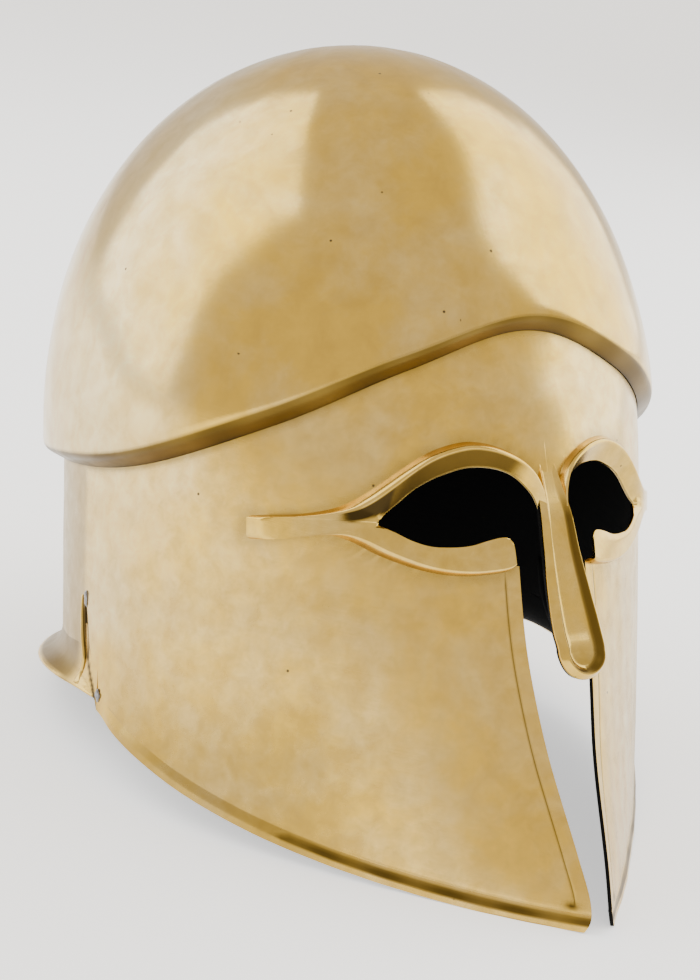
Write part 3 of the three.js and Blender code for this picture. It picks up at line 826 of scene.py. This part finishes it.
def cheek_darkening(marks, side):
    """Darker low on the cheek, and on the wearer's left a painted dark reflection in upright streaks.
    """
    turns, levels = marks.turns, marks.levels
    low = 0.1 * smooth(-40, -60, levels) + 0.26 * smooth(-78, -112, levels)
    lower_dark = low * smooth(22, 46, turns) * smooth(90, 82, turns)
    if side < 0:
        return lower_dark
    # Painted dark reflection in streaks over the wearer's left cheek
    streaks = 0.12 + 0.05 * np.sin(1.3 * turns)
    return lower_dark + streaks * smooth(70, 40, turns) * smooth(-36, -50, levels)


def wall_tone(marks, side):
    """Gold over the face and low down, and paler on the wearer's left cheek, a painted highlight of
    the right soft box.
    """
    golden = np.maximum(warmth(marks.turns), smooth(-56, -96, marks.levels))
    return golden if side < 0 else golden * mix(0.35, 1.0, smooth(16, 4, marks.turns))


def make_wall():
    turns, levels = wall_grid()
    marks = WallMarks(turns, levels)
    places = wall_point(turns, levels, wall_offset(marks))
    dirt_and_shade = wall_dirt_and_shade(marks, places)
    halves = []
    for side in (1, -1):
        # Dirt and painted shade, with the cheek's darkening
        darkening = np.maximum(dirt_and_shade, cheek_darkening(marks, side))
        bm = laid_grid(places, darkening, side, wall_tone(marks, side))
        cut_border_hole(bm, places, side)
        halves.append(bm)
    bm = joined(halves)
    weld(bm, 0.00003)
    bmesh.ops.recalc_face_normals(bm, faces=bm.faces)
    outward = sum(face.normal.x * face.calc_center_median().x for face in bm.faces)
    if outward < 0:
        bmesh.ops.reverse_faces(bm, faces=bm.faces)
    wall = piece("face_wall_sheet", bm, [wall_brass, inside_black])
    thicken(wall)
    eased = wall.modifiers.new("eased_edges", "BEVEL")
    eased.width = 0.00028
    eased.segments = 2
    eased.limit_method = "ANGLE"
    eased.angle_limit = math.radians(50)
    return wall


def thicken(wall):
    """Gives the wall its thickness inwards, and flattens what would reach below the floor."""
    thick = wall.modifiers.new("sheet", "SOLIDIFY")
    thick.thickness = SHEET / 1000
    thick.offset = -1
    thick.use_even_offset = False
    thick.material_offset = 1
    thick.material_offset_rim = 1
    graph = bpy.context.evaluated_depsgraph_get()
    mesh = bpy.data.meshes.new_from_object(wall.evaluated_get(graph))
    wall.modifiers.clear()
    wall.data = mesh
    for v in mesh.vertices:
        v.co.z = max(v.co.z, FLOOR_CLEAR)


def hole_outline():
    """The hole in the wall behind a border and between the cheeks, as x and z."""
    ribs = np.array(BORDER_RIBS)
    foot, edge = ribs[:, 0:2], ribs[:, 2:4]
    along = edge - foot
    length = np.linalg.norm(along, axis=1)[:, None]
    lid_end = (foot[:, 0] < 20) & (foot[:, 1] < -40)
    inset = np.where(lid_end[:, None], LID_INSET, HOLE_INSET)
    line = foot + along / length * np.minimum(inset, 0.45 * length)
    return np.vstack([line[line[:, 0] < TAIL_START], CHEEK_TOPS])


def inside(points, outline):
    """Which points lie inside a closed outline."""
    x, z = points[:, 0], points[:, 1]
    found = np.zeros(len(points), bool)
    for (ax, az), (bx, bz) in zip(outline, np.roll(outline, -1, 0)):
        crosses = (az > z) != (bz > z)
        with np.errstate(divide="ignore", invalid="ignore"):
            at = (bx - ax) * (z - az) / (bz - az) + ax
        found ^= crosses & (x < at)
    return found


def nearest(points, outline):
    """The nearest places on a closed outline, and how far they are."""
    best = np.full(len(points), 1e9)
    found = points.copy()
    for a, b in zip(outline, np.roll(outline, -1, 0)):
        span = b - a
        t = np.clip(((points - a) @ span) / max(span @ span, 1e-9), 0, 1)
        at = a + t[:, None] * span
        far = np.linalg.norm(points - at, axis=1)
        closer = far < best
        best = np.where(closer, far, best)
        found = np.where(closer[:, None], at, found)
    return found, best


def cut_border_hole(bm, places, side):
    """Opens the wall behind an eye border and between the cheeks, and fits its edge to the hole."""
    columns = places.shape[1]
    outline = hole_outline()
    flat = places[..., [0, 2]]
    centres = (flat[:-1, :-1] + flat[1:, :-1] + flat[:-1, 1:] + flat[1:, 1:]) / 4
    ahead = places[:-1, :-1, 1] < 0
    gone = inside(centres.reshape(-1, 2), outline) & ahead.reshape(-1)
    bm.faces.ensure_lookup_table()
    doomed = [face for index, face in enumerate(bm.faces) if gone[index]]
    number = {v: index for index, v in enumerate(bm.verts)}
    rim = {v for face in doomed for v in face.verts}
    bmesh.ops.delete(bm, geom=doomed, context="FACES")
    rim = [v for v in rim if v.is_valid and v.link_faces]
    edge, far = nearest(np.array([flat[divmod(number[v], columns)] for v in rim]), outline)
    turn = turn_at(edge[:, 0], edge[:, 1])
    fitted = at_rest(wall_point(turn, edge[:, 1], wall_relief(turn, edge[:, 1])), side)
    middle_plane, furthest = 0.5, 4
    for v, spot, x, gap in zip(rim, fitted, edge[:, 0], far):
        if x > middle_plane and gap < furthest:
            v.co = Vector(spot)


# ---- eye borders ----


def border_ribs():
    """The columns of BORDER_RIBS, read smoothly at stops along the border's foot."""
    ribs = np.array(BORDER_RIBS)
    steps = np.maximum(np.linalg.norm(np.diff(ribs[:, 0:2], axis=0), axis=1), 0.6)
    along = np.concatenate([[0], np.cumsum(steps)])
    stops = []
    for a, b in zip(along[:-1], along[1:]):
        count = max(int(round((b - a) / 1.1)), 2)
        stops += list(np.linspace(a, b, count, endpoint=False))
    stops.append(along[-1])
    table = [(place_along, *rib) for place_along, rib in zip(along, ribs)]
    return [reader(table, column)(np.array(stops)) for column in range(1, 7)]


def make_border(name, side):
    """A border in rows round its section: up from the foot, down to the edge, and back inside."""
    foot_x, foot_z, edge_x, edge_z, edge_height, hold = border_ribs()
    foot, edge = np.stack([foot_x, foot_z], -1), np.stack([edge_x, edge_z], -1)
    length = np.linalg.norm(edge - foot, axis=1)
    room = np.minimum(1.0, length / 4.5)
    start = BORDER_RISE[-1][0] * room
    slope_run = np.minimum(length - start, 8.0)
    lower = smooth(-1, 1, edge_z - foot_z) * smooth(62, 56, foot_x)
    sloped = smooth(0.6, -0.8, edge_height) * smooth(7, 13, foot_x)
    # The painted shade and the corner's darkening are painted stronger on the wearer's right
    side_strength = 1.0 if side < 0 else 0.25
    rows, dirt_and_shade, painted_rows = [], [], []

    def lay(walked, height, mark=0.0, painted=False):
        at = foot + (edge - foot) * (walked / length)[:, None]
        high = np.broadcast_to(height, length.shape)
        turn = turn_at(np.maximum(at[:, 0], 0.0), at[:, 1], high)
        if painted:
            painted_rows.append(len(rows))
        rows.append(wall_point(turn, at[:, 1], high))
        dirt_and_shade.append(np.broadcast_to(mark, length.shape))

    def height_at(walked):
        fallen = np.clip(1 - (length - walked) / slope_run, 0, 1) ** hold
        return mix(BORDER_LIFT, edge_height, fallen)

    for walked, height in BORDER_RISE:
        # Painted shade at the foot of the lower border; rows below the wall are darkened too
        darkening = np.maximum(0.55 * lower * side_strength, 0.35 * (height < 0))
        lay(walked * room, height, smooth(2.4, 1.6, height) * darkening)
    for share in BORDER_SLOPE:
        walked = mix(start, length, share)
        x, z = mix(foot_x, edge_x, walked / length), mix(foot_z, edge_z, walked / length)
        corner = smooth(64, 61, x) * smooth(45, 50, x) * smooth(-0.5, 0.5, z + 31.7 - 0.25 * (63 - x))
        # Painted dark reflection on the lids' downward inner slope
        shaded = 0.82 * sloped * smooth(0.0, 0.1, share)
        # Darker on the slope by the eye's outer corner
        corner_dark = 0.95 * corner * smooth(0.03, 0.12, share)
        rounded = 0.3 * smooth(2.0, 0, length - walked) * (1 - sloped)
        mark = side_strength * np.maximum(shaded, corner_dark) * smooth(1.0, 0.9, share)
        lay(walked, height_at(walked) - rounded, mark)
    lay(length, edge_height - 0.55, 0.1)
    lay(length - 0.1, edge_height - 0.95, 0.1)
    lay(length - 0.4, edge_height - SHEET, painted=True)
    for share in (0.8, 0.5, 0.2, 0.0):
        walked = mix(start + 0.4, length - 0.5, share)
        lay(walked, height_at(walked) - SHEET, painted=True)
    lay(1.0 * room, 0.2, painted=True)
    lay(0.5 * room, -0.9, painted=True)

    bm = laid_grid(np.stack(rows + rows[:1]), np.stack(dirt_and_shade + dirt_and_shade[:1]), side)
    paint_inside(bm, len(length), rows=painted_rows)
    return piece(name, closed_tube(bm), [trim_brass, inside_black], crisp=55)


# ---- nose guard ----

nose_half, nose_reach, nose_groove = (reader(NOSE_ROWS, i) for i in (1, 2, 3))


def nose_set_back(size, level):
    """How far a place lies behind the nose guard's crest, size being its share of the half width."""
    bevel = 2.0 * np.clip((size - NOSE_RIM) / (1 - NOSE_RIM), 0, 1) ** 1.25
    rim = 0.18 * (1 - hill(size, NOSE_RIM, 0.05))
    groove = nose_groove(level) * (1 - smooth(0.5, NOSE_RIM - 0.02, size))
    return np.where(size >= NOSE_RIM, bevel, groove) + rim * (nose_groove(level) > 0.2)


def make_nose_guard():
    """A spoon in rows round its section: across the face, one edge, back behind, the other edge."""
    centre_level, centre_half, centre_reach, _ = NOSE_ROWS[0]
    tip_drop = centre_level - NOSE_TIP["level"]
    tip_reach = NOSE_TIP["reach"] - centre_reach
    shares = np.array([-share for share in reversed(NOSE_COLUMNS[1:])] + NOSE_COLUMNS)
    size = np.abs(shares)
    taper, deep = np.where(size == 1, 0.86, 1.0), np.where(size == 1, 3.0, SHEET)

    def row(edge_x, edge_level, middle_level):
        level = mix(middle_level, edge_level, size)
        past = np.maximum(centre_level - level, 0) / tip_drop
        reach = nose_reach(level) + tip_reach * past * (2.05 - 1.05 * past)
        ahead = reach - nose_set_back(size, level)
        face = np.stack([shares * edge_x, -ahead, level], -1)
        edges = np.stack([shares * edge_x * 0.97, -(ahead - 1.0), level], -1)
        behind = np.stack([shares * edge_x * taper, -(ahead - deep), level], -1)
        return np.concatenate([face, edges[-1:], behind[::-1], edges[:1], face[:1]])

    sections = [row(nose_half(level), level, level) for level in np.arange(-11, -72, -1.25)]
    steps = 20
    for i in range(steps + 1):
        angle = i / steps * math.pi / 2
        lowest = centre_level - tip_drop * math.sin(angle)
        sections.append(row(centre_half * math.cos(angle), lowest, centre_level))
    places = np.stack(sections)

    front = slice(0, len(shares))
    level = places[:, front, 2]
    # Painted shade on the side walls of the groove, and darker at the guard's lower end
    right = smooth(0.6, 0.66, size) * (shares < 0)
    left = smooth(0.48, 0.56, size) * (shares > 0)
    walls = np.maximum(right, left) * smooth(NOSE_RIM, NOSE_RIM - 0.04, size)
    dirt_and_shade = np.zeros(places.shape[:2])
    dirt_and_shade[:, front] = 0.78 * walls * smooth(-20, -32, level)
    dirt_and_shade[:, front] += 0.3 * smooth(-68, -76, level) * (size < 0.5)
    bm = laid_grid(places, dirt_and_shade, tone=0.85)
    columns = places.shape[1]
    paint_inside(bm, columns, strips=range(len(shares) + 1, columns - 2))
    return piece("nose_guard", closed_tube(bm), [trim_brass, inside_black], crisp=60)


# ---- neck guard ----


def make_neck_guard():
    """A flared strip in rows: down the outside, round the rolled edge, and up the inside."""
    near_slit, further = np.arange(91.5, 99, 0.375), np.arange(99, 112, 1.0)
    turns = np.concatenate([near_slit, further, np.arange(112, 180, 2.5), [180]])
    reach, lip = neck_reach(turns), neck_level(turns)
    outside = [(0, -0.1, 11)] + [(share, 0, height) for height, share in reversed(FLARE[2:-1])]
    section = outside + NECK_EDGE + NECK_INSIDE
    rows = [wall_point(turns, lip + height, share * reach + out) for share, out, height in section]
    top = [wall_point(turns, NECK_TOP, out) for out in (-0.35, -0.85)]
    places = np.stack([top[0], *rows, top[1], top[0]])

    # Darker over the neck guard's rear and round the soldered join, and painted shade in the slit
    brown_rows, soldered_rows, slit_rows = slice(0, 8), slice(6, 11), slice(0, 13)
    soldered = 0.5 * hill(turns, 100.5, 2.0)
    past_slit = (turns - slit_turn(places[slit_rows, :, 2])) * DEGREE
    marks = np.zeros(places.shape[:2])
    marks[brown_rows] = 0.66 * smooth(97, 101, turns)
    marks[soldered_rows] = np.maximum(marks[soldered_rows], soldered)
    marks[slit_rows] = np.maximum(marks[slit_rows], 0.98 * hill(past_slit, 0.4, 0.85, 4))
    painted = range(1 + len(outside) + len(NECK_EDGE) + 1, len(places))
    halves = [laid_grid(places, marks, side) for side in (1, -1)]
    strip = joined(paint_inside(half, len(turns), rows=painted) for half in halves)
    return piece("neck_guard", closed_tube(strip), [wall_brass, inside_black], crisp=60)


def make_ridge(name, side):
    """The narrow turned-up edge that runs down beside the slit and back into the lip."""
    share = np.linspace(0, 1, 45)
    level = mix(-60.5, -90.0, share)
    middle = slit_turn(level) + 1.3 + 3.0 * smooth(0.6, 1.0, share) ** 1.3
    height = np.sin(np.pi * mix(0.08, 0.9, share)) ** 0.7
    width = 0.5 + 0.5 * smooth(0.55, 0.95, share)
    rows, marks = [], []
    for across, up in RIDGE_SECTION:
        # Painted shade along the side beside the slit
        beside_slit = 0.95 if across < -0.9 else 0.0
        marks.append(beside_slit * smooth(0.95, 0.8, share))
        turn = middle + across * width / DEGREE
        flange = neck_reach(turn) * flange_share(level - neck_level(turn))
        rows.append(wall_point(turn, level, flange + (up if up < 0 else up * height)))
    bm = laid_grid(np.stack(rows), np.stack(marks), side)
    return piece(name, closed_tube(bm), [trim_brass])


def make_solder(name, side, turn, level, size, seed):
    """A small lump of solder, squashed against the wall.  Size is along, up and out."""
    bm = bmesh.new()
    bmesh.ops.create_icosphere(bm, subdivisions=4, radius=1.0)
    middle = wall_point(turn, level, 0.2)
    out = wall_point(turn, level, 1.2) - middle
    along = wall_point(turn + 0.57, level, 0.2) - middle
    along /= np.linalg.norm(along)
    up = np.array([0, 0, 1.0])
    for v in bm.verts:
        x, y, z = v.co
        lumps = 0.22 * math.sin(5 * x + seed) * math.sin(4 * y + 2 * seed)
        lump = 1 + lumps + 0.12 * math.sin(11 * z + seed)
        spot = middle + along * x * size[0] * lump + up * y * size[1] * lump + out * z * size[2] * lump
        v.co = Vector(at_rest(spot, side))
    bmesh.ops.recalc_face_normals(bm, faces=bm.faces)
    return piece(name, bm, [grey_solder])


make_skull()
make_wall()
for label, side in (("left", 1), ("right", -1)):
    make_border(label + "_eye_border", side)
    make_ridge(label + "_neck_ridge", side)
    make_solder(label + "_solder_top", side, 96.5, -61.5, (0.9, 2.6, 0.5), 1.0)
    make_solder(label + "_solder_low", side, 91.3, -92.8, (1.3, 1.9, 0.6), 2.4)
make_nose_guard()
make_neck_guard()


# ---- floor, light and camera ----

DAYLIGHT = (0.93, 0.97, 1.0)
ROOM_LIGHT = (1.12, 1.04, 0.92, 1)
LIGHT_HEIGHT = 0.12  # the soft boxes face this height over the floor, in metres
LIGHT_DISTANCE = 1.5


def make_floor():
    """A wide pale floor that glows a little, so that it ends up near white."""
    bm = bmesh.new()
    bmesh.ops.create_grid(bm, x_segments=2, y_segments=2, size=14.0)
    floor = new_object("floor", new_mesh("floor", bm))
    material, tree = blank_material("floor_paper")
    glow = [("Emission Color", (1, 1, 1, 1)), ("Emission Strength", 0.82)]
    matt = [("Roughness", 0.9), ("Specular IOR Level", 0.1)]
    finish(tree, [("Base Color", (0.93, 0.93, 0.93, 1)), *matt, *glow])
    floor.data.materials.append(material)


def soft_box(name, azimuth, elevation, width, height, power):
    """A rectangular soft light that faces the helmet: azimuth 0 is ahead of the face."""
    light = bpy.data.lights.new(name, "AREA")
    light.shape = "RECTANGLE"
    light.size, light.size_y = width, height
    light.energy = power
    light.color = DAYLIGHT
    lamp = new_object(name, light)
    a, e = math.radians(azimuth), math.radians(elevation)
    back = Vector((math.sin(a) * math.cos(e), -math.cos(a) * math.cos(e), math.sin(e)))
    lamp.location = Vector((0, 0, LIGHT_HEIGHT)) + back * LIGHT_DISTANCE
    lamp.rotation_mode = "QUATERNION"
    lamp.rotation_quaternion = (-back).to_track_quat("-Z", "Y")


def make_light():
    soft_box("left_box", azimuth=-135, elevation=33, width=1.6, height=1.9, power=22.5)
    soft_box("right_box", azimuth=87, elevation=31, width=1.75, height=1.85, power=27)
    world = bpy.data.worlds.new("studio")
    bpy.context.scene.world = world
    world.use_nodes = True
    background = world.node_tree.nodes["Background"]
    background.inputs["Color"].default_value = ROOM_LIGHT
    background.inputs["Strength"].default_value = 1.0


def make_camera():
    """Seen from the wearer's right front and a little above, level with the helmet as worn."""
    side_turn, tilt, roll = 0.5933, 0.036, -0.012  # radians
    distance = 720.04  # worn millimetres from the middle of the skull
    reach = math.cos(tilt)
    back = Vector((-math.sin(side_turn) * reach, -math.cos(side_turn) * reach, math.sin(tilt)))
    right = Vector((math.cos(side_turn), -math.sin(side_turn), 0))
    up = right.cross(-back)
    turned = right * math.cos(roll) + up * math.sin(roll)
    upright = up * math.cos(roll) - right * math.sin(roll)
    pitch = Matrix.Rotation(REST_PITCH, 3, "X")
    data = bpy.data.cameras.new("camera")
    data.lens = 73.47
    data.sensor_width = 36
    data.shift_x = -0.001
    data.shift_y = -0.0826
    camera = new_object("camera", data)
    axes = Matrix([pitch @ turned, pitch @ upright, pitch @ back]).transposed()
    place = (pitch @ (back * distance) + Vector(REST_SHIFT)) / 1000
    camera.matrix_world = Matrix.Translation(place) @ axes.to_4x4()
    bpy.context.scene.camera = camera


make_floor()
make_light()
make_camera()
